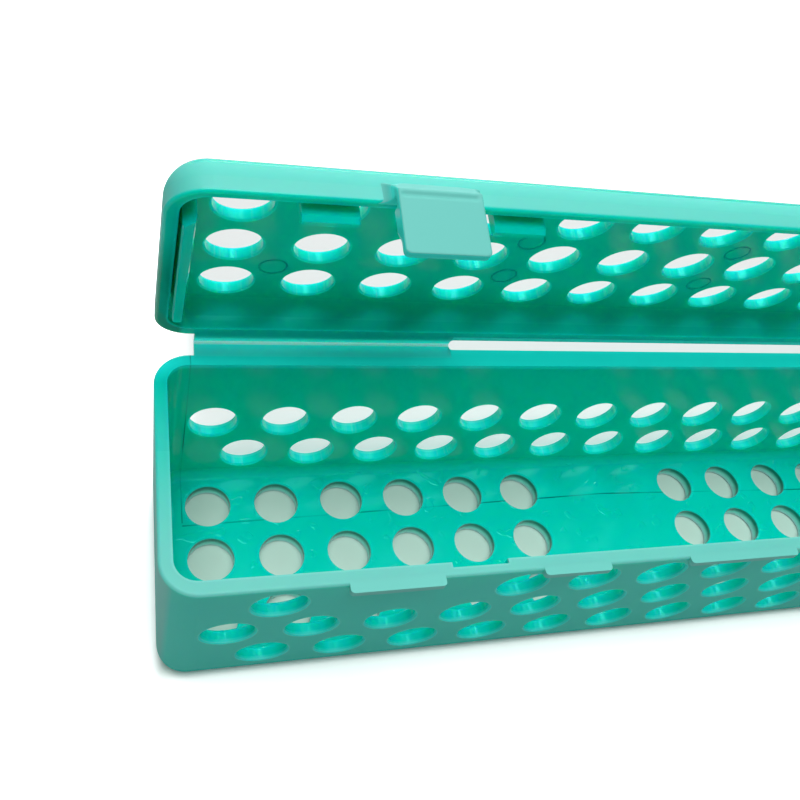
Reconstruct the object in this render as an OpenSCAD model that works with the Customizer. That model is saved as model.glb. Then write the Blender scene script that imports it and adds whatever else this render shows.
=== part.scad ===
// Perforated instrument cassette: a tray and a shallow lid on a living hinge, with two snap latches.
// Origin: middle of the tray's underside. X runs along the cassette, -Y is the latch side, Z is up.

/* [Tray] */
// Outside length at the rim
tray_l = 181; // [140:1:240]
// Outside width at the rim
tray_w = 39.8; // [32:0.1:60]
// Height from the underside to the rim
tray_h = 35.1; // [26:0.1:50]
// Thickness of the floor
floor_t = 3.0; // [1.2:0.1:4]
// Thickness of the long walls
side_wall = 2.2; // [1.2:0.1:3]
// Thickness of the end walls
end_wall = 2.0; // [1.2:0.1:3]
// Lean of every wall, in degrees, that lets the moulding leave its mould
draft = 1.4; // [0.5:0.1:2]
// Radius of the upright outer corners, seen from above
corner_r = 5.5; // [4:0.1:9]
// Radius of the outer edge round the underside
foot_r = 4.5; // [1:0.1:6]
// Radius of the inner edge round the floor
floor_r = 1.5; // [0.5:0.1:4]
// Radius of the outer edge of both rims
rim_r = 0.5; // [0.2:0.05:0.6]

/* [Lid] */
// Angle from closed at which the lid stands open
lid_open = 75; // [0:0.5:180]
// Outside depth of the lid, from its rim to its outer face
lid_depth = 6.7; // [5:0.1:12]
// Thickness of the lid's flat panel
panel_t = 2.0; // [1.2:0.1:3]
// Thickness of the lid's front wall
lid_front_wall = 1.2; // [1.1:0.1:3]
// Thickness of the lid's rear wall
lid_rear_wall = 2.4; // [1.2:0.1:3]
// Thickness of the lid's end walls
lid_end_wall = 1.9; // [1.2:0.1:3]
// Radius of the outer edge round the panel
lid_edge_r = 4.5; // [1:0.1:6]
// Radius of the inner edge round the panel
lid_inner_r = 2.5; // [0.5:0.1:4]
// Gap between the two rims when closed
rim_gap = 0.15; // [0.1:0.05:0.5]

/* [Steam holes] */
// Diameter of each hole
vent_d = 8.0; // [5:0.1:10]
// Softened edge of each hole
vent_soft = 0.25; // [0.1:0.05:0.4]
// Distance between holes along a row
vent_pitch = 12.35; // [11:0.05:20]
// Distance between rows on the floor and the lid
flat_row_gap = 10.4; // [10.4:0.1:16]
// Height of the lowest row on the walls
wall_row_z = 9.8; // [9.8:0.1:14]
// Distance between rows on the walls
wall_row_gap = 9.75; // [9.5:0.05:14]
// Least distance from a row's end hole to the end of the cassette
vent_margin = 10; // [10:0.1:20]

/* [Hinge] */
// Distance from the rear wall to the fold line
hinge_reach = 2.4; // [1.8:0.1:5]
// Length of each of the two hinge strips
hinge_w = 43.1; // [15:0.1:48]
// Distance from the cassette's end to the strip
hinge_inset = 6.2; // [6:0.1:20]
// Thickness of the thin web that folds
web_t = 0.4; // [0.25:0.05:0.8]
// Half the flat length of the web
web_half = 0.45; // [0.3:0.05:1]
// Thickness of the strip where it leaves the wall
leaf_root_t = 1.8; // [1:0.1:3]
// Radius in the corner between strip and wall
leaf_fillet = 0.6; // [0.4:0.1:1.3]
// Distance from the fold line to the tray's edge of the slot between the strips
slot_tray = 1.1; // [1:0.1:1.6]
// Distance from the fold line to the lid's edge of that slot
slot_lid = 1.6; // [1:0.1:1.6]
// Radius in the corners of the slot
slot_r = 0.5; // [0.2:0.1:0.6]

/* [Latches] */
// Distance from the middle to each latch
latch_x = 58.3; // [30:0.1:70]
// Width of the latch tab
tab_w = 11.0; // [8:0.1:20]
// Length of the tab beyond the lid's rim
tab_l = 8.4; // [7:0.1:14]
// Thickness of the tab's plate
tab_t = 1.2; // [0.8:0.1:1.4]
// Corner radius at the tip of the tab
tab_corner_r = 0.7; // [0.3:0.1:1.5]
// Clearance between the tab and the ledge that it hooks under
tab_gap = 0.3; // [0.2:0.05:0.5]
// How far the hook reaches in under the ledge
hook_bite = 0.8; // [0.4:0.1:0.9]
// Height of the hook's upright face
hook_h = 3.2; // [1.5:0.1:3.6]
// Height of the ramp that carries the tab, on the lid's front wall
root_h = 3.0; // [1.5:0.1:3.4]
// Radius of the hollow corner on each side of the ramp
ramp_fillet = 1.7; // [0.5:0.1:2.2]

/* [Rim ledges] */
// Thickness of every ledge on the front rim
ledge_t = 1.1; // [0.8:0.1:1.5]
// Width of the ledge that a latch hooks under
catch_w = 14.0; // [12:0.1:24]
// How far that ledge stands out
catch_out = 1.2; // [1.2:0.1:2]
// Distance from the middle to each finger pad
pad_x = 30.1; // [22:0.1:34]
// Width of each finger pad
pad_w = 11.2; // [6:0.1:13]
// How far the finger pads and the thumb pad stand out
pad_out = 0.9; // [0.6:0.1:1.5]
// Width of the thumb pad in the middle
thumb_w = 20.6; // [10:0.1:28]
// Corner radius of every ledge, seen from above
ledge_corner_r = 0.6; // [0.2:0.1:0.8]

/* [Tongues] */
// Clearance between each tongue and the tray wall beside it
tongue_gap = 0.35; // [0.25:0.05:0.6]
// Thickness of the long tongue inside each end of the lid
end_tongue_t = 1.6; // [1:0.1:2.5]
// How far the end tongues stand past the lid's rim
end_tongue_out = 1.2; // [0.6:0.1:3]
// How far each end tongue stops short of the tray's rear corner
end_tongue_short = 1.5; // [0.5:0.1:4]
// Thickness of the short tongues behind the lid's front wall
front_tongue_t = 1.5; // [1:0.1:2]
// How far the front tongues stand past the lid's rim
front_tongue_out = 1.5; // [0.8:0.1:3]
// Width of each front tongue
front_tongue_w = 7.3; // [4:0.1:9]
// Distance from the middle to the outer front tongues
outer_tongue_x = 70.8; // [40:0.1:78]
// Distance from the middle to the inner front tongues
inner_tongue_x = 45.5; // [20:0.1:60]
// Width of the notch in the tray's rim at each inner tongue
notch_w = 8.8; // [8:0.1:12]
// How far the notch goes into the wall
notch_in = 0.8; // [0.4:0.1:1.2]
// How far the notch goes down from the rim
notch_down = 2.6; // [2:0.1:5]

/* [Hidden] */
$fn = 64;

// How far a cutting shape runs past the face that it cuts
over = 0.6;
// Space kept between the end of a fillet and the middle of its corner
fillet_spare = 0.1;

// Widening of a wall over one millimetre of height
lean = tan(draft);
// Depth of the tray's space and of the lid's
tray_space = tray_h - floor_t;
lid_space = lid_depth - panel_t;
// Upright corner radii inside the tray and the lid
tray_inner_r = max(corner_r - side_wall, 2);
lid_inner_corner_r = max(corner_r - lid_end_wall, 2);
// Middle of the lid's space, which its unequal walls shift
lid_space_y = (lid_front_wall - lid_rear_wall) / 2;

// Height of the lid's rim when closed, and of the fold line between the two rims
lid_rim_z = tray_h + rim_gap;
hinge_z = tray_h + rim_gap / 2;
hinge_y = tray_w / 2 + hinge_reach;
leaf_x = tray_l / 2 - hinge_inset - hinge_w / 2;
// Distance from the rear wall to the web, and length of rim between the two strips
leaf_reach = hinge_reach - web_half;
lip_w = 2 * leaf_x - hinge_w;

// Distance of the tab's outer face from the lid's front face
tab_out = catch_out + tab_gap + tab_t;
// Depth of the hook's upper face below the lid's rim
hook_down = rim_gap + ledge_t + tab_gap / 2;
hook_in = catch_out - hook_bite;
hook_end = min(hook_down + hook_h, tab_l - tab_corner_r - tab_gap);
hook_tail = min(hook_end + 1.8, tab_l - tab_corner_r);

// Holes in a full row, and in the rows that lie half a pitch aside
vents_full = floor((tray_l - 2 * vent_margin) / vent_pitch) + 1;
vents_aside = vents_full - 1;
// Rows on the front wall, and rows on each side of the middle of the floor
rim_land = 1.5;
wall_rows = floor((tray_h - wall_row_z - vent_d / 2 - rim_land) / wall_row_gap) + 1;
flat_rows = floor((tray_w / 2 - vent_d / 2 - foot_r) / flat_row_gap);
// Half the length of rim over each latch that has no hole under it
catch_clear = 10;

// Colours of the thick and the thin stretches of the moulding
teal = "#22b9a7";
pale_teal = "#6fd6ca";

// Half outline of a leaning wall: a fillet at the foot and a small round at the lip
module wall_outline(r, h, foot, lip) {
    fit = min(foot, r - h * lean - fillet_spare, h - lip - fillet_spare);
    foot_x = r - (h - fit) * lean - fit / cos(draft);
    lip_x = r - lip * (1 + sin(draft)) / cos(draft);
    intersection() {
        translate([0, -over]) square([r + over, h + over]);
        union() {
            polygon([
                [0, 0], [foot_x, 0],
                [foot_x + fit * cos(draft), fit - fit * sin(draft)],
                [lip_x + lip * cos(draft), h - lip - lip * sin(draft)],
                [lip_x, h], [0, h]
            ]);
            translate([foot_x, fit]) circle(fit);
            if (lip > 0) translate([lip_x, h - lip]) circle(lip);
        }
    }
}

// Solid tub, open end up: l, w and r are measured at the height h, from where the walls lean in
module tub(l, w, h, r, foot, lip = 0) {
    run = l - 2 * r;
    span = w - 2 * r;
    translate([-run / 2, -span / 2, 0]) cube([run, span, h]);
    for (side = [0, 1]) mirror([0, side, 0]) translate([0, span / 2, 0])
        rotate([90, 0, 90]) linear_extrude(run, center = true) wall_outline(r, h, foot, lip);
    for (end = [0, 1]) mirror([end, 0, 0]) translate([run / 2, 0, 0])
        rotate([90, 0, 0]) linear_extrude(span, center = true) wall_outline(r, h, foot, lip);
    for (end = [0, 1], side = [0, 1]) mirror([end, 0, 0]) mirror([0, side, 0])
        translate([run / 2, span / 2, 0]) rotate_extrude(angle = 90) wall_outline(r, h, foot, lip);
}

// Space inside a tub, running a little past the rim with the same lean
module space(l, w, h, r, foot) {
    flare = over * lean;
    tub(l + 2 * flare, w + 2 * flare, h + over, r + flare, foot);
}

module tray_outside() {
    tub(tray_l, tray_w, tray_h, corner_r, foot_r, rim_r);
}

module lid_outside() {
    translate([0, 0, lid_rim_z + lid_depth]) mirror([0, 0, 1])
        tub(tray_l, tray_w, lid_depth, corner_r, lid_edge_r, rim_r);
}

// The lid's shell before its holes
module lid_blank() {
    difference() {
        lid_outside();
        translate([0, lid_space_y, lid_rim_z + lid_space]) mirror([0, 0, 1])
            space(tray_l - 2 * lid_end_wall, tray_w - lid_front_wall - lid_rear_wall,
                lid_space, lid_inner_corner_r, lid_inner_r);
    }
}

// Turns what is drawn closed to where the lid stands
module lid_pose() {
    translate([0, hinge_y, hinge_z]) rotate([-lid_open, 0, 0])
        translate([0, -hinge_y, -hinge_z]) children();
}

// Puts what is drawn on the +X side on the left (-1) or right (1)
module on_side(side) {
    mirror([side < 0 ? 1 : 0, 0, 0]) children();
}

// Places of the holes along a row of n
function row(n) = [for (i = [0 : n - 1]) (i - (n - 1) / 2) * vent_pitch];

// Cutter for one hole along Z through a wall of thickness t, with both edges softened
module vent(t) {
    end = t / 2 + over;
    wide = vent_d / 2 + vent_soft + over;
    rotate_extrude() polygon([
        [0, -end], [wide, -end],
        [vent_d / 2, vent_soft - t / 2], [vent_d / 2, t / 2 - vent_soft],
        [wide, end], [0, end]
    ]);
}

// One row of holes through a long wall, side -1 for the front and 1 for the rear
module wall_row(xs, z, side) {
    y = tray_w / 2 - side_wall / 2 - (tray_h - z) * lean;
    for (x = xs) translate([x, side * y, z]) rotate([90, 0, 0]) vent(side_wall);
}

// Rows i = 0, 1, 2 upward from the floor: even rows lie half a pitch aside
function wall_row_xs(i) = row(i % 2 == 0 ? vents_aside : vents_full);

module tray_vents() {
    for (i = [0 : wall_rows - 1]) {
        top = i == wall_rows - 1;
        xs = [for (x = wall_row_xs(i)) if (!top || abs(abs(x) - latch_x) > catch_clear) x];
        wall_row(xs, wall_row_z + i * wall_row_gap, -1);
        if (!top) wall_row(wall_row_xs(i), wall_row_z + i * wall_row_gap, 1);
    }
    for (x = row(vents_full), j = [-flat_rows : flat_rows])
        if (abs(x) > vent_pitch) translate([x, j * flat_row_gap, floor_t / 2]) vent(floor_t);
}

module tray_shell() {
    color(teal) difference() {
        tray_outside();
        translate([0, 0, floor_t])
            space(tray_l - 2 * end_wall, tray_w - 2 * side_wall, tray_space, tray_inner_r, floor_r);
        tray_vents();
        for (side = [-1, 1])
            translate([side * inner_tongue_x - notch_w / 2, side_wall - tray_w / 2 - notch_in,
                tray_h - notch_down])
                cube([notch_w, notch_in + over, notch_down + over]);
    }
}

module lid_shell() {
    color(teal) lid_pose() difference() {
        lid_blank();
        for (x = row(vents_full), j = [-flat_rows : flat_rows])
            translate([x, j * flat_row_gap, lid_rim_z + lid_depth - panel_t / 2]) vent(panel_t);
    }
}

// Plan of the right hinge strip, with a fillet in the corner between its outer end and the wall
module leaf_plan() {
    translate([-hinge_w / 2, -side_wall / 2]) square([hinge_w, leaf_reach + side_wall / 2]);
    translate([hinge_w / 2, -side_wall / 2]) difference() {
        square([leaf_fillet, side_wall / 2 + leaf_fillet]);
        translate([leaf_fillet, side_wall / 2 + leaf_fillet]) circle(leaf_fillet);
    }
}

// Plan of the lip between the strips, standing out as far as the slot, with the slot's rounded corners
module lip_plan(out) {
    translate([-lip_w / 2, -side_wall / 2]) square([lip_w, out + side_wall / 2]);
    for (end = [0, 1]) mirror([end, 0]) translate([lip_w / 2 - slot_r, out]) difference() {
        square(slot_r);
        translate([0, slot_r]) circle(slot_r);
    }
}

// Extrudes a plan below a rim at z = 0, tapering from the wall at y = 0 to the web
module tapered(w) {
    intersection() {
        translate([0, 0, -leaf_root_t]) linear_extrude(leaf_root_t) children();
        rotate([90, 0, 90]) linear_extrude(w, center = true) polygon([
            [-side_wall, -leaf_root_t], [0, -leaf_root_t],
            [leaf_reach, -web_t], [leaf_reach, 0], [-side_wall, 0]
        ]);
    }
}

module hinge_leaf(side) {
    on_side(side) translate([leaf_x, 0, 0]) tapered(hinge_w + 4 * leaf_fillet) leaf_plan();
}

module rear_lip(slot_half) {
    tapered(lip_w) lip_plan(hinge_reach - slot_half);
}

// Puts what is drawn below a rim at z = 0 on the tray's rear wall
module on_tray_rear() {
    difference() {
        translate([0, tray_w / 2, tray_h]) children();
        tray_outside();
    }
}

// Puts the same on the lid's rear wall, above its rim
module on_lid_rear() {
    lid_pose() difference() {
        translate([0, tray_w / 2, lid_rim_z]) mirror([0, 0, 1]) children();
        lid_outside();
    }
}

module hinge_leaf_tray(side) {
    color(teal) on_tray_rear() hinge_leaf(side);
}

module rear_lip_tray() {
    color(teal) on_tray_rear() rear_lip(slot_tray);
}

module hinge_leaf_lid(side) {
    color(teal) on_lid_rear() hinge_leaf(side);
}

module rear_lip_lid() {
    color(teal) on_lid_rear() rear_lip(slot_lid);
}

// Folded web: a flat half on each leaf and an arc round the fold line between them
module hinge_web(side) {
    low = rim_gap / 2;
    high = low + web_t;
    turn = 180 - lid_open;
    color(pale_teal) translate([side * leaf_x, hinge_y, hinge_z]) rotate([90, 0, 90])
        linear_extrude(hinge_w, center = true) {
            translate([-web_half, -high]) square([web_half, web_t]);
            rotate(-lid_open) translate([-web_half, low]) square([web_half, web_t]);
            if (turn > 0) intersection() {
                difference() {
                    circle(high);
                    circle(low);
                }
                polygon([[0, 0], for (i = [0 : 4]) 2 * high * [sin(turn * i / 4), -cos(turn * i / 4)]]);
            }
        }
}

// Ledge on the front rim with its two outer corners rounded
module ledge(x, w, out) {
    difference() {
        translate([x, -tray_w / 2, tray_h - ledge_t]) linear_extrude(ledge_t) {
            translate([-w / 2, ledge_corner_r - out]) square([w, out + side_wall / 2 - ledge_corner_r]);
            translate([ledge_corner_r - w / 2, -out]) square([w - 2 * ledge_corner_r, out]);
            for (end = [-1, 1])
                translate([end * (w / 2 - ledge_corner_r), ledge_corner_r - out]) circle(ledge_corner_r);
        }
        tray_outside();
    }
}

module catch_ledge(side) {
    color(pale_teal) ledge(side * latch_x, catch_w, catch_out);
}

module finger_pad(side) {
    color(pale_teal) ledge(side * pad_x, pad_w, pad_out);
}

module thumb_pad() {
    color(pale_teal) ledge(0, thumb_w, pad_out);
}

// Long tongue inside one end of the lid, cut back from the tray's upright corners and tapered at its tip
module end_tongue(side) {
    outer_x = tray_l / 2 - end_wall - tongue_gap;
    inner_x = outer_x - end_tongue_t;
    bend_y = tray_w / 2 - side_wall - tray_inner_r;
    rear_y = bend_y - end_tongue_short - end_tongue_t / 2;
    top = lid_space + panel_t / 2;
    taper = end_tongue_t / 8;
    color(teal) lid_pose() on_side(side) difference() {
        translate([0, 0, lid_rim_z]) intersection() {
            translate([0, 0, -end_tongue_out]) linear_extrude(end_tongue_out + top) {
                polygon([
                    [inner_x, -bend_y - end_tongue_t / 2], [outer_x, end_tongue_t / 2 - bend_y],
                    [outer_x, rear_y], [inner_x, rear_y]
                ]);
                translate([(inner_x + outer_x) / 2, rear_y]) circle(end_tongue_t / 2);
            }
            rotate([90, 0, 0]) linear_extrude(tray_w, center = true) polygon([
                [inner_x, top], [inner_x, -end_tongue_out / 2], [inner_x + taper, -end_tongue_out],
                [outer_x - taper, -end_tongue_out], [outer_x, -end_tongue_out / 2], [outer_x, top]
            ]);
        }
        lid_blank();
    }
}

// Short tongue behind the lid's front wall, its tip tapered on both faces
module front_tongue(x) {
    face_y = side_wall + tongue_gap - tray_w / 2;
    tip = front_tongue_out;
    taper = front_tongue_t / 4;
    color(teal) lid_pose() difference() {
        translate([x, face_y, lid_rim_z]) rotate([90, 0, 90])
            linear_extrude(front_tongue_w, center = true) polygon([
                [0, lid_space + panel_t / 2], [0, -tip / 2], [taper, -tip],
                [front_tongue_t - taper, -tip], [front_tongue_t, -tip / 2],
                [front_tongue_t, lid_space + panel_t / 2]
            ]);
        lid_blank();
    }
}

// Ramp that carries a latch tab out from the lid's front wall, with a hollow corner on each side
module latch_ramp(side) {
    land = 0.4;
    inside = lid_front_wall / 2;
    color(pale_teal) lid_pose() difference() {
        translate([side * latch_x, -tray_w / 2, lid_rim_z]) intersection() {
            linear_extrude(root_h) {
                translate([-tab_w / 2, -tab_out]) square([tab_w, tab_out + inside]);
                for (end = [0, 1]) mirror([end, 0]) translate([tab_w / 2, -ramp_fillet]) difference() {
                    square([ramp_fillet, ramp_fillet + inside]);
                    translate([ramp_fillet, 0]) circle(ramp_fillet);
                }
            }
            rotate([90, 0, 90]) linear_extrude(tab_w + 3 * ramp_fillet, center = true) polygon([
                [inside, 0], [-tab_out, 0], [-tab_out, land], [0, root_h], [inside, root_h]
            ]);
        }
        lid_outside();
    }
}

// Latch tab: a plate down past the rims, with a hook on its inner face under the catch ledge
module latch_tab(side) {
    half = tab_w / 2;
    color(pale_teal) lid_pose() translate([side * latch_x, -tray_w / 2, lid_rim_z]) intersection() {
        rotate([90, 0, 90]) linear_extrude(tab_w, center = true) polygon([
            [-tab_out, 0], [-tab_out, -tab_l], [tab_t / 2 - tab_out, -tab_l], [tab_t - tab_out, -hook_tail],
            [-hook_in, -hook_end], [-hook_in, -hook_down], [tab_t - tab_out, -hook_down], [tab_t - tab_out, 0]
        ]);
        rotate([90, 0, 0]) linear_extrude(tab_out) {
            translate([-half, tab_corner_r - tab_l]) square([tab_w, tab_l - tab_corner_r]);
            translate([tab_corner_r - half, -tab_l]) square([tab_w - 2 * tab_corner_r, tab_l]);
            for (end = [-1, 1])
                translate([end * (half - tab_corner_r), tab_corner_r - tab_l]) circle(tab_corner_r);
        }
    }
}

tray_shell();
hinge_leaf_tray(-1);  // hinge_leaf_tray_left
hinge_leaf_tray(1);  // hinge_leaf_tray_right
rear_lip_tray();
catch_ledge(-1);  // catch_ledge_left
catch_ledge(1);  // catch_ledge_right
finger_pad(-1);  // finger_pad_left
finger_pad(1);  // finger_pad_right
thumb_pad();
lid_shell();
hinge_leaf_lid(-1);  // hinge_leaf_lid_left
hinge_leaf_lid(1);  // hinge_leaf_lid_right
rear_lip_lid();
end_tongue(-1);  // end_tongue_left
end_tongue(1);  // end_tongue_right
front_tongue(-outer_tongue_x);  // front_tongue_outer_left
front_tongue(-inner_tongue_x);  // front_tongue_inner_left
front_tongue(inner_tongue_x);  // front_tongue_inner_right
front_tongue(outer_tongue_x);  // front_tongue_outer_right
latch_ramp(-1);  // latch_ramp_left
latch_ramp(1);  // latch_ramp_right
latch_tab(-1);  // latch_tab_left
latch_tab(1);  // latch_tab_right
hinge_web(-1);  // hinge_web_left
hinge_web(1);  // hinge_web_right
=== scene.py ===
# Perforated instrument cassette in translucent turquoise polypropylene, standing open on a white table.
# Sizes are metres, written as millimetres times MM. +X runs along the cassette and -Y is the latch side.
import math

import bmesh
import bpy
from mathutils import Matrix, Vector


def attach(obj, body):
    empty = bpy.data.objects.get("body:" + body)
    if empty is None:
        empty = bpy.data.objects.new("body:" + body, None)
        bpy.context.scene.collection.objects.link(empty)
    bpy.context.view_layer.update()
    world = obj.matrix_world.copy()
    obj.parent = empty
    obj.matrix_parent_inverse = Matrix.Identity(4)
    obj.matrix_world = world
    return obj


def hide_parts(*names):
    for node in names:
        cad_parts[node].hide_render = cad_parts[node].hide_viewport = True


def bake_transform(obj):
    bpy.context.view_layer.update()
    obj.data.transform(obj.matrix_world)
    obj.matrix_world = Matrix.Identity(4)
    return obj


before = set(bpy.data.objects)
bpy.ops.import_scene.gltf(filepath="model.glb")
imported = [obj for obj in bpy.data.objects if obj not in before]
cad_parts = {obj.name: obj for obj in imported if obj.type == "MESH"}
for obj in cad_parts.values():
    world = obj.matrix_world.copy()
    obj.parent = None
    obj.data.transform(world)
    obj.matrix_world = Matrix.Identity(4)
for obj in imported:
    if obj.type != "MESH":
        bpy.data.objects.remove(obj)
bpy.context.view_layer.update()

MM = 0.001
FULL_WIDTH = 800
FULL_HEIGHT = 800
SENSOR = 36.0

# The photograph's viewpoint: where the lens stands, the way it looks and how it frames the cassette
LENS_AT = Vector((-94.69, -63.946, 142.255)) * MM
AZIMUTH = math.radians(-28.356)
ELEVATION = math.radians(49.171)
ROLL = math.radians(22.403)
FOCAL_PX = 847.99
AXIS_PX = (401.16, 366.54)

# Sizes of the moulding in millimetres, as drawn closed
LENGTH = 181.0
WIDTH = 39.8
CORNER = 5.5
TRAY_HEIGHT = 35.1
LEAN = math.tan(math.radians(1.4))
RIM_GAP = 0.15
LID_RIM = TRAY_HEIGHT + RIM_GAP
LID_SPACE = 4.7
LID_OPEN = 75.0
FOLD_Y = WIDTH / 2 + 2.4
FOLD_Z = TRAY_HEIGHT + RIM_GAP / 2
STRIP_INSET = 6.2
STRIP_W = 43.1
STRIP_X = LENGTH / 2 - STRIP_INSET - STRIP_W / 2
STRIP_ROOT = 1.8
STRIP_BURIED = 0.48
WEB = 0.4
WEB_HALF = 0.45
LATCH_X = 58.3
TAB_W = 11.0
TAB_T = 1.2
TAB_L = 8.4
TAB_OUT = 2.7

# Finishes: roughness of the polished inside and of the matt outside, and the tint of their gloss
GLOSSY = 0.13
MATT = 0.55
# The inside's gloss is tinted turquoise, a painted colour of reflections that stands for the turquoise walls they
# mirror
DEEP_GLOSS = "#58FAEC"
PLAIN_GLOSS = "#FFFFFF"

# Colours of the plastic: lit from within, at its matt skin with painted sheen, and a painted glow that stands for
# light coming out of a thin rim
DEEP = "#00D6C4"
SKIN_AND_SHEEN = "#6ACCC1"
PAINTED_GLOW = "#20FFF4"

# How far red, green and blue light go into the plastic, as shares of a material's depth
LIGHT_REACH = (0.1, 1.0, 0.5)
LEAST_DEPTH = 0.1 * MM

# How near in millimetres a point has to be to lie on a line, and how squarely a face or edge has to point
NEAR = 0.01
SQUARE = 0.9

FOLD = Vector((0, FOLD_Y, FOLD_Z)) * MM


def turn_about_fold(degrees):
    """The lid's turn about the line where the web folds."""
    turn = Matrix.Rotation(math.radians(degrees), 4, "X")
    return Matrix.Translation(FOLD) @ turn @ Matrix.Translation(-FOLD)


LID_POSE = turn_about_fold(-LID_OPEN)


# ---------- node and material helpers

def linear(hex_colour, alpha=1.0):
    """Turns a colour written as sRGB hex into the linear values that a shader takes."""
    channels = [int(hex_colour[i:i + 2], 16) / 255 for i in (1, 3, 5)]
    return [c / 12.92 if c <= 0.04045 else ((c + 0.055) / 1.055) ** 2.4 for c in channels] + [alpha]


def add(tree, kind, settings=None, **links):
    """Adds a node with its settings, and links or sets its inputs by name."""
    node = tree.nodes.new(kind)
    for name, value in (settings or {}).items():
        setattr(node, name, value)
    for name, value in links.items():
        by_place = name[0] == "i" and name[1:].isdigit()
        socket = node.inputs[int(name[1:]) if by_place else name.replace("_", " ")]
        if isinstance(value, bpy.types.NodeSocket):
            tree.links.new(value, socket)
        else:
            socket.default_value = value
    return node


def blank_material(name):
    material = bpy.data.materials.new(name)
    material.use_nodes = True
    material.node_tree.nodes.clear()
    return material, material.node_tree


def axes(tree, vector):
    return add(tree, "ShaderNodeSeparateXYZ", Vector=vector).outputs


def length(tree, vector):
    return add(tree, "ShaderNodeVectorMath", {"operation": "LENGTH"}, i0=vector).outputs["Value"]


def ramp(tree, value, low, high, start=0.0, end=1.0, unit=MM):
    """Runs smoothly from start to end while a value goes from low to high, in millimetres by default."""
    return add(
        tree, "ShaderNodeMapRange", {"interpolation_type": "SMOOTHSTEP"},
        Value=value, From_Min=low * unit, From_Max=high * unit, To_Min=start, To_Max=end
    ).outputs[0]


def calc(tree, operation, a, b=0.0):
    return add(tree, "ShaderNodeMath", {"operation": operation}, i0=a, i1=b).outputs[0]


def product(tree, first, *others):
    for other in others:
        first = calc(tree, "MULTIPLY", first, other)
    return first


def raised(tree, level, *steps):
    """Adds each mask times its share to a level."""
    for share, mask in steps:
        level = calc(tree, "ADD", level, calc(tree, "MULTIPLY", mask, share))
    return level


def mix(tree, share, first, second):
    return add(tree, "ShaderNodeMix", {"data_type": "RGBA"}, i0=share, i6=first, i7=second).outputs[2]


def noise(tree, place, scale, detail):
    return add(tree, "ShaderNodeTexNoise", Vector=place, Scale=scale, Detail=detail).outputs["Fac"]


def bump(tree, strength, millimetres, height, **under):
    return add(
        tree, "ShaderNodeBump", Strength=strength, Distance=millimetres * MM, Height=height, **under
    ).outputs["Normal"]


# ---------- where a place on the moulding lies

def as_closed(tree, place, normal):
    """Turns places and normals of the open lid back to where they are when it is closed."""
    closed = LID_POSE.inverted()
    turn = closed.to_euler()
    place = add(
        tree, "ShaderNodeMapping", {"vector_type": "POINT"},
        Vector=place, Location=closed.translation, Rotation=turn
    ).outputs[0]
    normal = add(
        tree, "ShaderNodeMapping", {"vector_type": "VECTOR"}, Vector=normal, Rotation=turn
    ).outputs[0]
    return place, normal


def skin_and_painted_sheen(tree, place, lean, walls, rim):
    """How pale and how matt a place is. The paleness is partly the matt skin's own tone and partly painted sheen.
    The long outer walls are as pale as given. So is the rim at the front, from where it fades to the rear in
    painted shade of the open lid. The tray's end walls are fully pale, with painted sheen."""
    step = axes(tree, place)
    height = calc(tree, "SUBTRACT", step["Z"], TRAY_HEIGHT * MM)
    widening = calc(tree, "MULTIPLY", height, lean)
    reach = []
    for axis, half in (("X", LENGTH / 2), ("Y", WIDTH / 2)):
        out = calc(tree, "SUBTRACT", calc(tree, "ABSOLUTE", step[axis]), widening)
        reach.append(calc(tree, "MAXIMUM", calc(tree, "SUBTRACT", out, (half - CORNER) * MM), 0))
    out = length(tree, add(tree, "ShaderNodeCombineXYZ", X=reach[0], Y=reach[1]).outputs[0])
    wall = ramp(tree, out, CORNER - 0.9, CORNER - 0.4)
    if not rim:
        wall = product(tree, wall, ramp(tree, height, 0.3, 0.8))
        return product(tree, wall, walls), wall
    wall = product(tree, wall, ramp(tree, height, -0.4, -0.2, 1.0, 0.0))
    # Painted sheen: the tray's end walls are fully pale
    ends = ramp(tree, calc(tree, "ABSOLUTE", step["X"]), 88.5, 89.5, walls, 1.0)
    # Painted sheen on the rim's land, fading to painted shade towards the rear, which the open lid shades
    land = product(tree, ramp(tree, height, -0.5, -0.2), ramp(tree, step["Y"], -22, 18, rim, 0.0))
    pale = calc(tree, "MAXIMUM", land, product(tree, wall, ends))
    return pale, calc(tree, "MAXIMUM", land, wall)


def insert_line(tree, place):
    """1 on the hair-fine line that the mould's rear insert leaves down the back wall and along the floor."""
    step = axes(tree, place)
    along = calc(tree, "ABSOLUTE", step["X"])
    slant = calc(tree, "SUBTRACT", 8.9 * MM, calc(tree, "MULTIPLY", along, 0.0275))
    off_floor = calc(tree, "ABSOLUTE", calc(tree, "SUBTRACT", step["Y"], slant))
    off_wall = calc(tree, "ABSOLUTE", calc(tree, "SUBTRACT", along, 84.9 * MM))
    floor = product(
        tree, ramp(tree, off_floor, 0.07, 0.18, 1, 0), ramp(tree, step["Z"], 3.3, 3.6, 1, 0),
        ramp(tree, along, 84.8, 85.0, 1, 0)
    )
    wall = product(tree, ramp(tree, off_wall, 0.05, 0.13, 1, 0), ramp(tree, step["Y"], 7.0, 7.2))
    return calc(tree, "MAXIMUM", floor, wall)


def in_bores(tree, place, normal, axis):
    """1 inside the steam holes that run along an axis, told by their normals and by where the walls lie."""
    step = axes(tree, place)
    facing = calc(tree, "ABSOLUTE", axes(tree, normal)[axis])
    off_middle = calc(tree, "ABSOLUTE", step["Y"])
    bore = product(
        tree, ramp(tree, facing, 0.75, 0.95, 1, 0, unit=1),
        ramp(tree, calc(tree, "ABSOLUTE", step["X"]), 86.5, 87, 1, 0)
    )
    if axis == "Z":
        return product(tree, bore, ramp(tree, off_middle, 15.2, 15.6, 1, 0))
    return product(
        tree, bore, ramp(tree, off_middle, 16.6, 16.9), ramp(tree, step["Z"], 5.4, 5.6),
        ramp(tree, step["Z"], 34.0, 34.3, 1, 0)
    )


# ---------- what the plastic looks like there

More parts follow.
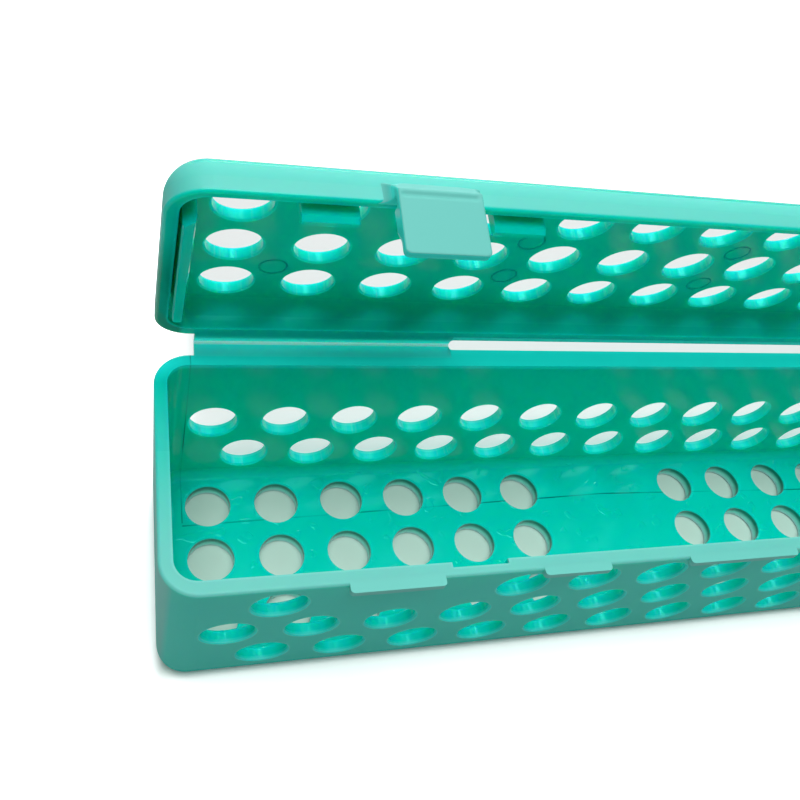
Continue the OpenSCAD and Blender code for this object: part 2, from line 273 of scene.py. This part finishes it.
def bore_glow(tree, place, drawn):
    """The colour of bores: a painted glow, standing for light that comes through their rims, with pale streaks
    that the mould's pins dragged along them."""
    stretched = add(tree, "ShaderNodeMapping", Vector=place, Scale=drawn).outputs[0]
    streaks = ramp(tree, noise(tree, stretched, 1.0, 2.0), 0.5, 0.8, 0.0, 0.25, unit=1)
    return mix(tree, streaks, linear("#08F0E2"), linear("#9CF2E6"))


def tray_colour(tree, place, normal, colour):
    """Lays the rear rim's painted glow, the bores with their painted glow and shade, and the insert line over the
    tray's colour, and says where no light goes into the plastic."""
    step = axes(tree, place)
    # The rear rim under the hinge strips is painted with a glow, standing for light that comes up inside the wall
    painted_glow = product(tree, ramp(tree, step["Z"], 34.0, 34.8), ramp(tree, step["Y"], 14, 18.5))
    colour = mix(tree, painted_glow, colour, linear(PAINTED_GLOW))
    # Bores of the front wall are painted with a smooth glow, a little deeper in colour than the streaked ones of
    # the back wall, whose glow is painted too
    glow = bore_glow(tree, place, (1300, 25, 1300))
    glow = mix(tree, ramp(tree, step["Y"], -1, 1), linear("#04E6DA"), glow)
    colour = mix(tree, in_bores(tree, place, normal, "Y"), colour, glow)
    # The floor's bores are painted: a bright soft rim of painted glow, a deep green band of painted shade below
    # it, and painted light from the table at the foot
    bore = mix(tree, ramp(tree, step["Z"], 0.0, 1.2), linear("#D8FFFF"), linear("#90FFEA"))
    bore = mix(tree, ramp(tree, step["Z"], 1.0, 2.1), bore, linear("#00907A"))
    bore = mix(tree, ramp(tree, step["Z"], 2.45, 2.8), bore, linear("#04E0D0"))
    drain = in_bores(tree, place, normal, "Z")
    colour = mix(tree, drain, colour, bore)
    # The insert's line comes and goes along its way
    broken = ramp(tree, noise(tree, place, 70.0, 1.0), 0.4, 0.65, 0.15, 0.8, unit=1)
    colour = mix(tree, product(tree, insert_line(tree, place), broken), colour, linear("#005A50"))
    return colour, calc(tree, "MAXIMUM", painted_glow, drain)


def lid_colour(tree, place, normal, colour):
    """Lays the shade of the end rims and the bores over the lid's colour."""
    step = axes(tree, place)
    shade = product(tree, ramp(tree, step["Z"], 35.5, 36.2, 1, 0), ramp(tree, step["Y"], -12, 2))
    end = ramp(tree, calc(tree, "ABSOLUTE", step["X"]), 86, 87)
    colour = mix(tree, product(tree, shade, end), colour, linear("#009A80"))
    glow = bore_glow(tree, place, (1300, 1300, 25))
    return mix(tree, in_bores(tree, place, normal, "Z"), colour, glow)


def edge_light(tree):
    """Light gathers in the plastic's sharp edges, which are where a rounded normal turns from the true one."""
    true = add(tree, "ShaderNodeNewGeometry").outputs["Normal"]
    turned = add(tree, "ShaderNodeBevel", {"samples": 6}, Radius=0.8 * MM).outputs[0]
    alike = add(
        tree, "ShaderNodeVectorMath", {"operation": "DOT_PRODUCT"}, i0=true, i1=turned
    ).outputs["Value"]
    return ramp(tree, alike, 0.80, 0.999, 0.6, 0.0, unit=1)


def fold_line_and_painted_glow(tree, place, colour):
    """Lays a whitish line over the strip's colour where the web folds, 0.3 mm to each side, in a painted glow of
    2 mm, and paints the tray's side of the strip with the rim's glow. Also says where light goes into the
    plastic, which is close to the fold."""
    step = axes(tree, place)
    tilt = math.radians(90 - LID_OPEN / 2)
    up = calc(tree, "MULTIPLY", calc(tree, "SUBTRACT", step["Z"], FOLD.z), math.sin(tilt))
    back = calc(tree, "MULTIPLY", calc(tree, "SUBTRACT", step["Y"], FOLD.y), math.cos(tilt))
    off = calc(tree, "ABSOLUTE", calc(tree, "SUBTRACT", up, back))
    # The tray's side of the strip is painted with the rim's glow, and the lid's side, which lies in shade, keeps
    # its plain colour
    colour = mix(tree, ramp(tree, step["Z"], FOLD_Z, FOLD_Z + 0.5, 1, 0), colour, linear(PAINTED_GLOW))
    # A painted glow about the fold, and a whitish line along it
    colour = mix(tree, ramp(tree, off, 0.7, 2.2, 1.0, 0.0), colour, linear("#50FFF4"))
    colour = mix(tree, ramp(tree, off, 0.06, 0.3, 0.9, 0.0), colour, linear("#E8F8F4"))
    return colour, ramp(tree, off, 0.6, 1.8, 1.0, 0.0)


def moulded_surface(tree, place, dented_floor):
    """Slow waves of the moulded skin, 6 to 12 mm from crest to crest, under a fine satin grain of 0.5 mm. A
    dented floor also has shallow dents, 1 to 2 mm across, that catch small glints."""
    surface = bump(tree, 0.25, 0.12, noise(tree, place, 110.0, 2.0))
    if dented_floor:
        dents = product(
            tree, ramp(tree, noise(tree, place, 330.0, 1.0), 0.60, 0.68, unit=1),
            ramp(tree, axes(tree, place)["Z"], 3.1, 3.3, 1, 0)
        )
        surface = bump(tree, 0.8, 0.12, dents, Normal=surface)
    return bump(tree, 0.12, 0.02, noise(tree, place, 2000.0, 2.0), Normal=surface)


def shell_finish(tree, place, normal, region):
    """Colour, roughness, tint of the gloss and share of light that goes in, for the tray or the lid."""
    height = axes(tree, place)["Z"]
    if region == "tray":
        pale, matt = skin_and_painted_sheen(tree, place, LEAN, 0.16, 1.0)
        fillets = product(tree, ramp(tree, height, 3.02, 3.1), ramp(tree, height, 4.4, 5.0, 1, 0))
    else:
        pale, matt = skin_and_painted_sheen(tree, place, -LEAN, 0.72, 0.0)
        fillets = product(tree, ramp(tree, height, 37.0, 37.6), ramp(tree, height, 39.8, 39.9, 1, 0))
    # Pale places take the skin's colour, partly painted sheen
    colour = mix(tree, pale, linear(DEEP), linear(SKIN_AND_SHEEN))
    weight = calc(tree, "SUBTRACT", 1.0, calc(tree, "MULTIPLY", matt, 0.7))
    edge = edge_light(tree)
    if region == "tray":
        colour, dark = tray_colour(tree, place, normal, colour)
        weight = product(tree, weight, calc(tree, "SUBTRACT", 1.0, dark))
        edge = product(tree, edge, ramp(tree, height, 1.5, 2.5))
    else:
        colour = lid_colour(tree, place, normal, colour)
    # Painted glow along the sharp edges, bright inside and paler on the matt outside
    colour = mix(tree, edge, colour, mix(tree, matt, linear("#10FFF0"), linear("#8CECE0")))
    # The fillets inside are rougher, so that no white line of gloss runs along them
    rough = calc(tree, "MULTIPLY", matt, MATT - GLOSSY)
    rough = calc(tree, "MAXIMUM", calc(tree, "MULTIPLY", fillets, 0.6), rough)
    rough = calc(tree, "ADD", rough, GLOSSY)
    return colour, rough, mix(tree, matt, linear(DEEP_GLOSS), linear(PLAIN_GLOSS)), weight


def latch_finish(tree, normal):
    """As shell_finish, for a latch: its front is pale and matt, and its edges and back are painted with a glow.
    """
    facing = axes(tree, normal)["Y"]
    pale = ramp(tree, facing, -0.8, -0.2, 1.0, 0.1, unit=1)
    matt = ramp(tree, facing, -0.8, -0.2, 1.0, 0.0, unit=1)
    colour = mix(tree, pale, linear("#48FFF2"), linear("#5EC0B6"))
    rough = calc(tree, "ADD", calc(tree, "MULTIPLY", matt, MATT - GLOSSY), GLOSSY)
    return colour, rough, mix(tree, matt, linear(DEEP_GLOSS), linear(PLAIN_GLOSS)), 0.0


def polypropylene(name, depth, region="inside", fold_line_and_glow=False):
    """Moulded polypropylene. Inside it is clear deep turquoise with a soft gloss, as light goes some
    millimetres into it; outside the mould's fine texture makes it more matt and paler, the paleness partly its
    own tone and partly painted sheen. The regions tray, lid and latch have both finishes and some painted glow
    and shade, and the regions inside, outside and painted_glow have one all over, the last a painted glow. Thin
    pieces have no depth."""
    material, tree = blank_material(name)
    place, normal = (add(tree, "ShaderNodeTexCoord").outputs[kind] for kind in ("Object", "Normal"))
    if region in ("lid", "latch"):
        place, normal = as_closed(tree, place, normal)
    if region in ("tray", "lid"):
        colour, rough, tint, weight = shell_finish(tree, place, normal, region)
    elif region == "latch":
        colour, rough, tint, weight = latch_finish(tree, normal)
    else:
        colour = linear({"inside": DEEP, "outside": SKIN_AND_SHEEN, "painted_glow": PAINTED_GLOW}[region])
        rough = MATT if region == "outside" else GLOSSY
        tint = linear(PLAIN_GLOSS if region == "outside" else DEEP_GLOSS)
        weight = 1.0 if depth else 0.0
    if fold_line_and_glow:
        colour, weight = fold_line_and_painted_glow(tree, place, colour)
    body = add(
        tree, "ShaderNodeBsdfPrincipled", Base_Color=colour, Roughness=rough, Specular_Tint=tint,
        Subsurface_Weight=weight, Subsurface_Scale=max(depth, LEAST_DEPTH), Subsurface_Radius=LIGHT_REACH,
        IOR=1.49, Normal=moulded_surface(tree, place, region == "tray")
    )
    add(tree, "ShaderNodeOutputMaterial", Surface=body.outputs["BSDF"])
    return material


# ---------- modelling helpers

def leave_nothing_selected():
    if bpy.context.object and bpy.context.object.mode != "OBJECT":
        bpy.ops.object.mode_set(mode="OBJECT")
    bpy.ops.object.select_all(action="DESELECT")


def take_up(piece):
    """Makes a piece the only one selected."""
    leave_nothing_selected()
    bpy.context.view_layer.objects.active = piece
    piece.select_set(True)


def block(name, low, high):
    """A cube primitive between two corners in millimetres, with its place in its mesh."""
    leave_nothing_selected()
    bpy.ops.mesh.primitive_cube_add(size=1, location=[(a + b) / 2 * MM for a, b in zip(low, high)])
    piece = bpy.context.object
    piece.name = name
    piece.scale = [(b - a) * MM for a, b in zip(low, high)]
    bpy.ops.object.transform_apply(location=True, rotation=True, scale=True)
    return piece


def choose(piece, kind, test):
    """Selects faces, edges or vertices in edit mode by a test on their middle in millimetres and their
    normal, which for an edge is its direction."""
    bpy.ops.mesh.select_mode(type=kind)
    bpy.ops.mesh.select_all(action="DESELECT")
    mesh = bmesh.from_edit_mesh(piece.data)
    if kind == "FACE":
        for face in mesh.faces:
            face.select_set(test(face.calc_center_median() / MM, face.normal))
    elif kind == "EDGE":
        for edge in mesh.edges:
            a, b = (v.co / MM for v in edge.verts)
            edge.select_set(test((a + b) / 2, (b - a).normalized()))
    else:
        for vert in mesh.verts:
            vert.select_set(test(vert.co / MM, vert.normal))
    bmesh.update_edit_mesh(piece.data)


def extrude(step):
    bpy.ops.mesh.extrude_region_move(TRANSFORM_OT_translate={"value": [v * MM for v in step]})


def move(step):
    bpy.ops.transform.translate(value=[v * MM for v in step])


def finish_with(piece, kind, **settings):
    """Adds a modifier and applies it."""
    take_up(piece)
    modifier = piece.modifiers.new(kind.lower(), kind)
    for name, value in settings.items():
        setattr(modifier, name, value)
    bpy.ops.object.modifier_apply(modifier=modifier.name)


def smooth(piece):
    take_up(piece)
    bpy.ops.object.shade_smooth()


def copy_along(piece, name, step):
    """A copy with its own mesh, moved along X."""
    twin = piece.copy()
    twin.data = piece.data.copy()
    twin.name = name
    twin.data.transform(Matrix.Translation((step * MM, 0, 0)))
    bpy.context.scene.collection.objects.link(twin)
    return twin


def give(piece, material):
    piece.data.materials.clear()
    piece.data.materials.append(material)


def soften_edges(node):
    """Live modifiers that give a tongue its moulded soft edges."""
    weld = node.modifiers.new("weld", "WELD")
    weld.merge_threshold = 0.002 * MM
    edge = node.modifiers.new("soft_edges", "BEVEL")
    edge.width = 0.35 * MM
    edge.segments = 3
    edge.limit_method = "ANGLE"
    edge.angle_limit = math.radians(35)
    edge.harden_normals = True


# ---------- materials

TRAY_PLASTIC = polypropylene("moulded_polypropylene_tray", 3.5 * MM, "tray")
LID_PLASTIC = polypropylene("moulded_polypropylene_lid", 3.0 * MM, "lid")
TONGUE_PLASTIC = polypropylene("moulded_polypropylene_tongue", 3.0 * MM)
# The trim is the skin's colour all over, with its painted sheen
TRIM = polypropylene("thin_polypropylene_trim", 0.0, "outside")
LATCH = polypropylene("thin_polypropylene_latch", 0.0, "latch")
# The rear lips are painted with the rim's glow all over
LIP = polypropylene("thin_polypropylene_lip", 0.0, "painted_glow")
STRIP = polypropylene("folded_polypropylene_strip", 6.0 * MM, fold_line_and_glow=True)

for name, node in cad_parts.items():
    node.data.materials.clear()
    if name.startswith(("catch_ledge", "finger_pad", "thumb_pad")):
        node.data.materials.append(TRIM)
    elif name.startswith(("end_tongue", "front_tongue")):
        node.data.materials.append(TONGUE_PLASTIC)
        soften_edges(node)
    elif name.startswith("rear_lip"):
        node.data.materials.append(LIP)
    else:
        node.data.materials.append(LID_PLASTIC if name == "lid_shell" else TRAY_PLASTIC)


# ---------- latch: ramp, plate and hook as one piece

def model_latch():
    """The left latch, drawn closed: plate down past the rim, hook behind it and ramp up to the front wall."""
    front = -WIDTH / 2
    plate_out, plate_in = front - TAB_OUT, front - TAB_OUT + TAB_T
    tip, land = LID_RIM - TAB_L, LID_RIM + 0.4
    hook_top, hook_low, hook_tail = LID_RIM - 1.4, LID_RIM - 4.6, LID_RIM - 6.4
    hook_clear = 0.4
    buried, foot = 0.6, 2.0
    left, right = -LATCH_X - TAB_W / 2, -LATCH_X + TAB_W / 2

    def on_side(p):
        return abs(abs(p.x + LATCH_X) - TAB_W / 2) < NEAR

    def on_top(p, d):
        return p.z > LID_RIM + 0.3 and abs(d.x) > SQUARE

    piece = block("latch_left", (left, plate_out, tip), (right, plate_in, land))
    bpy.ops.object.mode_set(mode="EDIT")
    for height in (LID_RIM, hook_top, hook_tail):
        bpy.ops.mesh.select_all(action="SELECT")
        bpy.ops.mesh.bisect(plane_co=(0, 0, height * MM), plane_no=(0, 0, 1))
    # Hook: drawn out of the plate's inner face, then its lower edge is raised to make the slope
    choose(piece, "FACE", lambda p, n: n.y > SQUARE and hook_tail < p.z < hook_top)
    extrude((0, TAB_OUT - TAB_T - hook_clear, 0))
    choose(piece, "EDGE", lambda p, d: (
        abs(p.z - hook_tail) < NEAR and p.y > plate_in + 0.5 and abs(d.x) > SQUARE
    ))
    move((0, 0, hook_low - hook_tail))
    # Ramp: drawn back into the lid's front wall, then raised along its top
    choose(piece, "FACE", lambda p, n: n.y > SQUARE and p.z > LID_RIM)
    extrude((0, front - plate_in, 0))
    extrude((0, buried, 0))
    choose(piece, "EDGE", lambda p, d: on_top(p, d) and p.y > front - 0.1)
    move((0, 0, 2.6))
    choose(piece, "EDGE", lambda p, d: on_top(p, d) and abs(p.y - plate_in) < NEAR)
    move((0, 0, 1.15))
    # Hollow corners: the buried foot is drawn out sideways, its ends are sunk deeper, and a bevel fills the
    # corner above it
    choose(piece, "FACE", lambda p, n: abs(n.x) > SQUARE and p.y > front + 0.1 and p.z > LID_RIM)
    bpy.ops.mesh.extrude_region_shrink_fatten(TRANSFORM_OT_shrink_fatten={"value": foot * MM})
    choose(piece, "VERT", lambda p, n: (
        abs(p.x + LATCH_X) > TAB_W / 2 + foot - 0.1 and abs(p.y - front) < NEAR
    ))
    move((0, 0.35, 0))
    choose(piece, "EDGE", lambda p, d: abs(p.y - front) < NEAR and abs(d.z) > SQUARE and on_side(p))
    bpy.ops.mesh.bevel(offset=1.7 * MM, segments=6, profile=0.5, clamp_overlap=False)
    # Rounded corners at the tip
    choose(piece, "EDGE", lambda p, d: abs(d.y) > SQUARE and abs(p.z - tip) < NEAR and on_side(p))
    bpy.ops.mesh.bevel(offset=0.7 * MM, segments=4)
    bpy.ops.object.mode_set(mode="OBJECT")
    finish_with(piece, "REMESH", mode="VOXEL", voxel_size=0.14 * MM)
    # Shallow flexing groove across the root of the plate, 1.1 mm wide, running out before the plate's sides
    groove_at, groove_half, groove_deep = LID_RIM - 0.35, 0.55, 0.22
    for vert in piece.data.vertices:
        x, y, z = vert.co / MM
        across = abs(z - groove_at) / groove_half
        inside = min(1.0, max(0.0, (TAB_W / 2 - 0.3 - abs(x + LATCH_X)) / 0.5))
        if across < 1 and y < plate_out + 0.3:
            vert.co.y += groove_deep * MM * inside * math.cos(across * math.pi / 2) ** 2
    finish_with(piece, "SMOOTH", factor=0.5, iterations=5)
    piece.data.transform(LID_POSE)
    smooth(piece)
    return piece


latch_left = model_latch()
latch_right = copy_along(latch_left, "latch_right", 2 * LATCH_X)
for piece, side, sign in ((latch_left, "left", -1), (latch_right, "right", 1)):
    give(piece, LATCH)
    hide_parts(f"latch_ramp_{side}", f"latch_tab_{side}")
    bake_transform(piece)


# ---------- living hinge: tray strip, folded web and lid strip as one piece

def model_hinge_strip():
    """The left strip, extruded from the tray's rim round the fold to the lid's rim."""
    wall = WIDTH / 2
    left, right = -STRIP_X - STRIP_W / 2, -STRIP_X + STRIP_W / 2
    reach = FOLD_Y - wall - WEB_HALF
    piece = block(
        "hinge_strip_left", (left, wall - STRIP_BURIED, TRAY_HEIGHT - STRIP_ROOT), (right, wall, TRAY_HEIGHT)
    )
    bpy.ops.object.mode_set(mode="EDIT")
    # The tray's strip thins from its root to the web
    choose(piece, "FACE", lambda p, n: n.y > SQUARE)
    extrude((0, reach, 0))
    choose(piece, "EDGE", lambda p, d: p.y > wall + 1 and p.z < TRAY_HEIGHT - 1 and abs(d.x) > SQUARE)
    move((0, 0, STRIP_ROOT - WEB))
    choose(piece, "FACE", lambda p, n: n.y > SQUARE and p.y > wall + 1)
    extrude((0, WEB_HALF, 0))
    # The web turns round the fold in small steps
    steps = 6
    turned = turn_about_fold((180 - LID_OPEN) / steps)
    for _ in range(steps):
        extrude((0, 0, 0))
        mesh = bmesh.from_edit_mesh(piece.data)
        bmesh.ops.transform(mesh, matrix=turned, verts=[v for v in mesh.verts if v.select])
        bmesh.update_edit_mesh(piece.data)
    # The lid's strip thickens again to its root
    along = LID_POSE.to_3x3() @ Vector((0, -1, 0))
    across = LID_POSE.to_3x3() @ Vector((0, 0, 1))
    extrude(along * WEB_HALF)
    extrude(along * reach)
    mesh = bmesh.from_edit_mesh(piece.data)
    ends = [v for v in mesh.verts if v.select]
    outer = max((v.co - FOLD).dot(across) for v in ends)
    for vert in ends:
        if (vert.co - FOLD).dot(across) > outer - 0.1 * MM:
            vert.co += across * (STRIP_ROOT - WEB) * MM
    bmesh.update_edit_mesh(piece.data)
    extrude(along * STRIP_BURIED)
    bpy.ops.mesh.select_all(action="SELECT")
    bpy.ops.mesh.normals_make_consistent(inside=False)
    bpy.ops.object.mode_set(mode="OBJECT")
    smooth(piece)
    take_up(piece)
    bpy.ops.object.shade_smooth_by_angle(angle=math.radians(40))
    return piece


strip_left = model_hinge_strip()
strip_right = copy_along(strip_left, "hinge_strip_right", 2 * STRIP_X)
for piece, side in ((strip_left, "left"), (strip_right, "right")):
    give(piece, STRIP)
    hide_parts(f"hinge_web_{side}", f"hinge_leaf_tray_{side}", f"hinge_leaf_lid_{side}")
    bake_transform(piece)


# ---------- marks that the mould leaves

def model_ejector_marks():
    """Faint raised rings, 4 mm across, where the ejector pins pushed the lid's panel out of the mould."""
    pitch = 37
    rear_row = [(pitch * i, 16.65) for i in range(-2, 3)]
    front_row = [(pitch * i, 27.2) for i in range(-1, 2)]
    rings = []
    for x, off_fold in rear_row + front_row:
        leave_nothing_selected()
        bpy.ops.mesh.primitive_torus_add(
            location=(x * MM, (FOLD_Y - off_fold) * MM, (LID_RIM + LID_SPACE) * MM),
            major_radius=2.0 * MM, minor_radius=0.08 * MM, major_segments=64, minor_segments=8
        )
        ring = bpy.context.object
        ring.scale.z = 0.6
        bpy.ops.object.transform_apply(location=True, rotation=True, scale=True)
        rings.append(ring)
    take_up(rings[0])
    for ring in rings:
        ring.select_set(True)
    bpy.ops.object.join()
    marks = bpy.context.object
    marks.name = "ejector_marks"
    marks.data.transform(LID_POSE)
    smooth(marks)
    return marks


marks = model_ejector_marks()
give(marks, LID_PLASTIC)
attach(marks, "lid")


# ---------- camera, floor and light

def add_camera():
    """Stands the camera at the photograph's viewpoint, with its frame's centre on the lens axis by shift."""
    look = Vector((
        -math.sin(AZIMUTH) * math.cos(ELEVATION),
        math.cos(AZIMUTH) * math.cos(ELEVATION),
        -math.sin(ELEVATION)
    ))
    level = look.cross(Vector((0, 0, 1))).normalized()
    rise = level.cross(look)
    right = math.cos(ROLL) * level + math.sin(ROLL) * rise
    up = math.cos(ROLL) * rise - math.sin(ROLL) * level
    data = bpy.data.cameras.new("camera")
    data.sensor_fit = "HORIZONTAL"
    data.sensor_width = SENSOR
    data.lens = FOCAL_PX / FULL_WIDTH * SENSOR
    data.shift_x = (FULL_WIDTH / 2 - AXIS_PX[0]) / FULL_WIDTH
    data.shift_y = (AXIS_PX[1] - FULL_HEIGHT / 2) / FULL_WIDTH
    data.clip_start = 1 * MM
    data.clip_end = 20
    camera = bpy.data.objects.new("camera", data)
    bpy.context.scene.collection.objects.link(camera)
    turn = Matrix((right, up, -look)).transposed().to_4x4()
    camera.matrix_world = Matrix.Translation(LENS_AT) @ turn
    bpy.context.scene.camera = camera


def softbox(name, place, target, size, radiance):
    """A square lamp of one radiance, turned to the target and unseen by the camera."""
    data = bpy.data.lights.new(name, "AREA")
    data.shape = "SQUARE"
    data.size = size
    data.energy = radiance * math.pi * size * size
    lamp = bpy.data.objects.new(name, data)
    bpy.context.scene.collection.objects.link(lamp)
    lamp.location = place
    lamp.rotation_euler = (Vector(target) - Vector(place)).to_track_quat("-Z", "Y").to_euler()
    lamp.visible_camera = False


def table_tone(tree, place):
    """The table's colour as the camera sees it: lifted to pure white in the open, and its own pale grey where
    the holes give a sight of it, which is under the tray and up to 105 mm behind it."""
    step = axes(tree, place)
    below = product(tree, ramp(tree, step["Y"], 17, 24, 1, 0), ramp(tree, step["X"], -91, -88))
    near = product(
        tree, calc(tree, "MAXIMUM", ramp(tree, step["X"], -89, -80), below),
        ramp(tree, step["X"], 100, 130, 1, 0), ramp(tree, step["Y"], -20, -16),
        ramp(tree, step["Y"], 95, 125, 1, 0)
    )
    under = product(tree, near, below)
    behind = product(tree, near, ramp(tree, step["Y"], 17, 22), ramp(tree, step["Y"], 24, 45, 1, 0))
    # Painted light: just behind the tray the table is lifted against the shade there, and under the tray it takes
    # a little of the tray's colour, standing for light that falls through the tray
    green = raised(tree, 1.8, (-1.1, near), (0.34, behind), (0.05, under))
    red = raised(tree, green, (-0.15, under), (0.06, behind))
    blue = raised(tree, green, (-0.07, under))
    return add(tree, "ShaderNodeCombineColor", i0=red, i1=green, i2=blue).outputs[0]


def add_floor():
    """A white table, which shows the camera its tone and the shadows on it. To all other rays it is plain pale
    paint. Far away it is as white as the room, so no horizon shows from low viewpoints."""
    material, tree = blank_material("white_table")
    place = add(tree, "ShaderNodeTexCoord").outputs["Object"]
    paint = add(tree, "ShaderNodeBsdfDiffuse", Color=linear("#C4C4C4"))
    toned = add(tree, "ShaderNodeBsdfDiffuse", Color=table_tone(tree, place))
    white = add(tree, "ShaderNodeEmission", Color=(1, 1, 1, 1), Strength=1.0)
    far = ramp(tree, length(tree, place), 300, 450)
    seen = add(tree, "ShaderNodeMixShader", i0=far, i1=toned.outputs[0], i2=white.outputs[0])
    by_camera = add(tree, "ShaderNodeLightPath").outputs["Is Camera Ray"]
    mixed = add(tree, "ShaderNodeMixShader", i0=by_camera, i1=paint.outputs[0], i2=seen.outputs[0])
    add(tree, "ShaderNodeOutputMaterial", Surface=mixed.outputs[0])
    bpy.ops.mesh.primitive_plane_add(size=6, location=(0, 0, -0.05 * MM))
    floor = bpy.context.object
    floor.name = "table"
    bpy.ops.object.transform_apply(location=True, rotation=True, scale=True)
    floor.data.materials.append(material)


def light_room():
    """A dim white room that the camera sees as pure white, and three softboxes."""
    world = bpy.data.worlds.new("white_room")
    bpy.context.scene.world = world
    world.use_nodes = True
    tree = world.node_tree
    tree.nodes.clear()
    path = add(tree, "ShaderNodeLightPath")
    room = add(tree, "ShaderNodeBackground", Color=(1, 1, 1, 1), Strength=0.12)
    white = add(tree, "ShaderNodeBackground", Color=(1, 1, 1, 1), Strength=1.0)
    seen = add(
        tree, "ShaderNodeMixShader",
        i0=path.outputs["Is Camera Ray"], i1=room.outputs[0], i2=white.outputs[0]
    )
    add(tree, "ShaderNodeOutputWorld", Surface=seen.outputs[0])
    cassette = (0, 0, 0.03)
    softbox("softbox_behind", (0.25, 0.46, 0.63), cassette, 0.55, 1.5)
    softbox("softbox_rear", (0.10, 0.75, 0.30), cassette, 0.50, 3.0)
    softbox("softbox_above", (-0.10, -0.05, 0.90), cassette, 0.60, 6.3)


leave_nothing_selected()
add_camera()
add_floor()
light_room()
bpy.context.scene.view_settings.view_transform = "Standard"
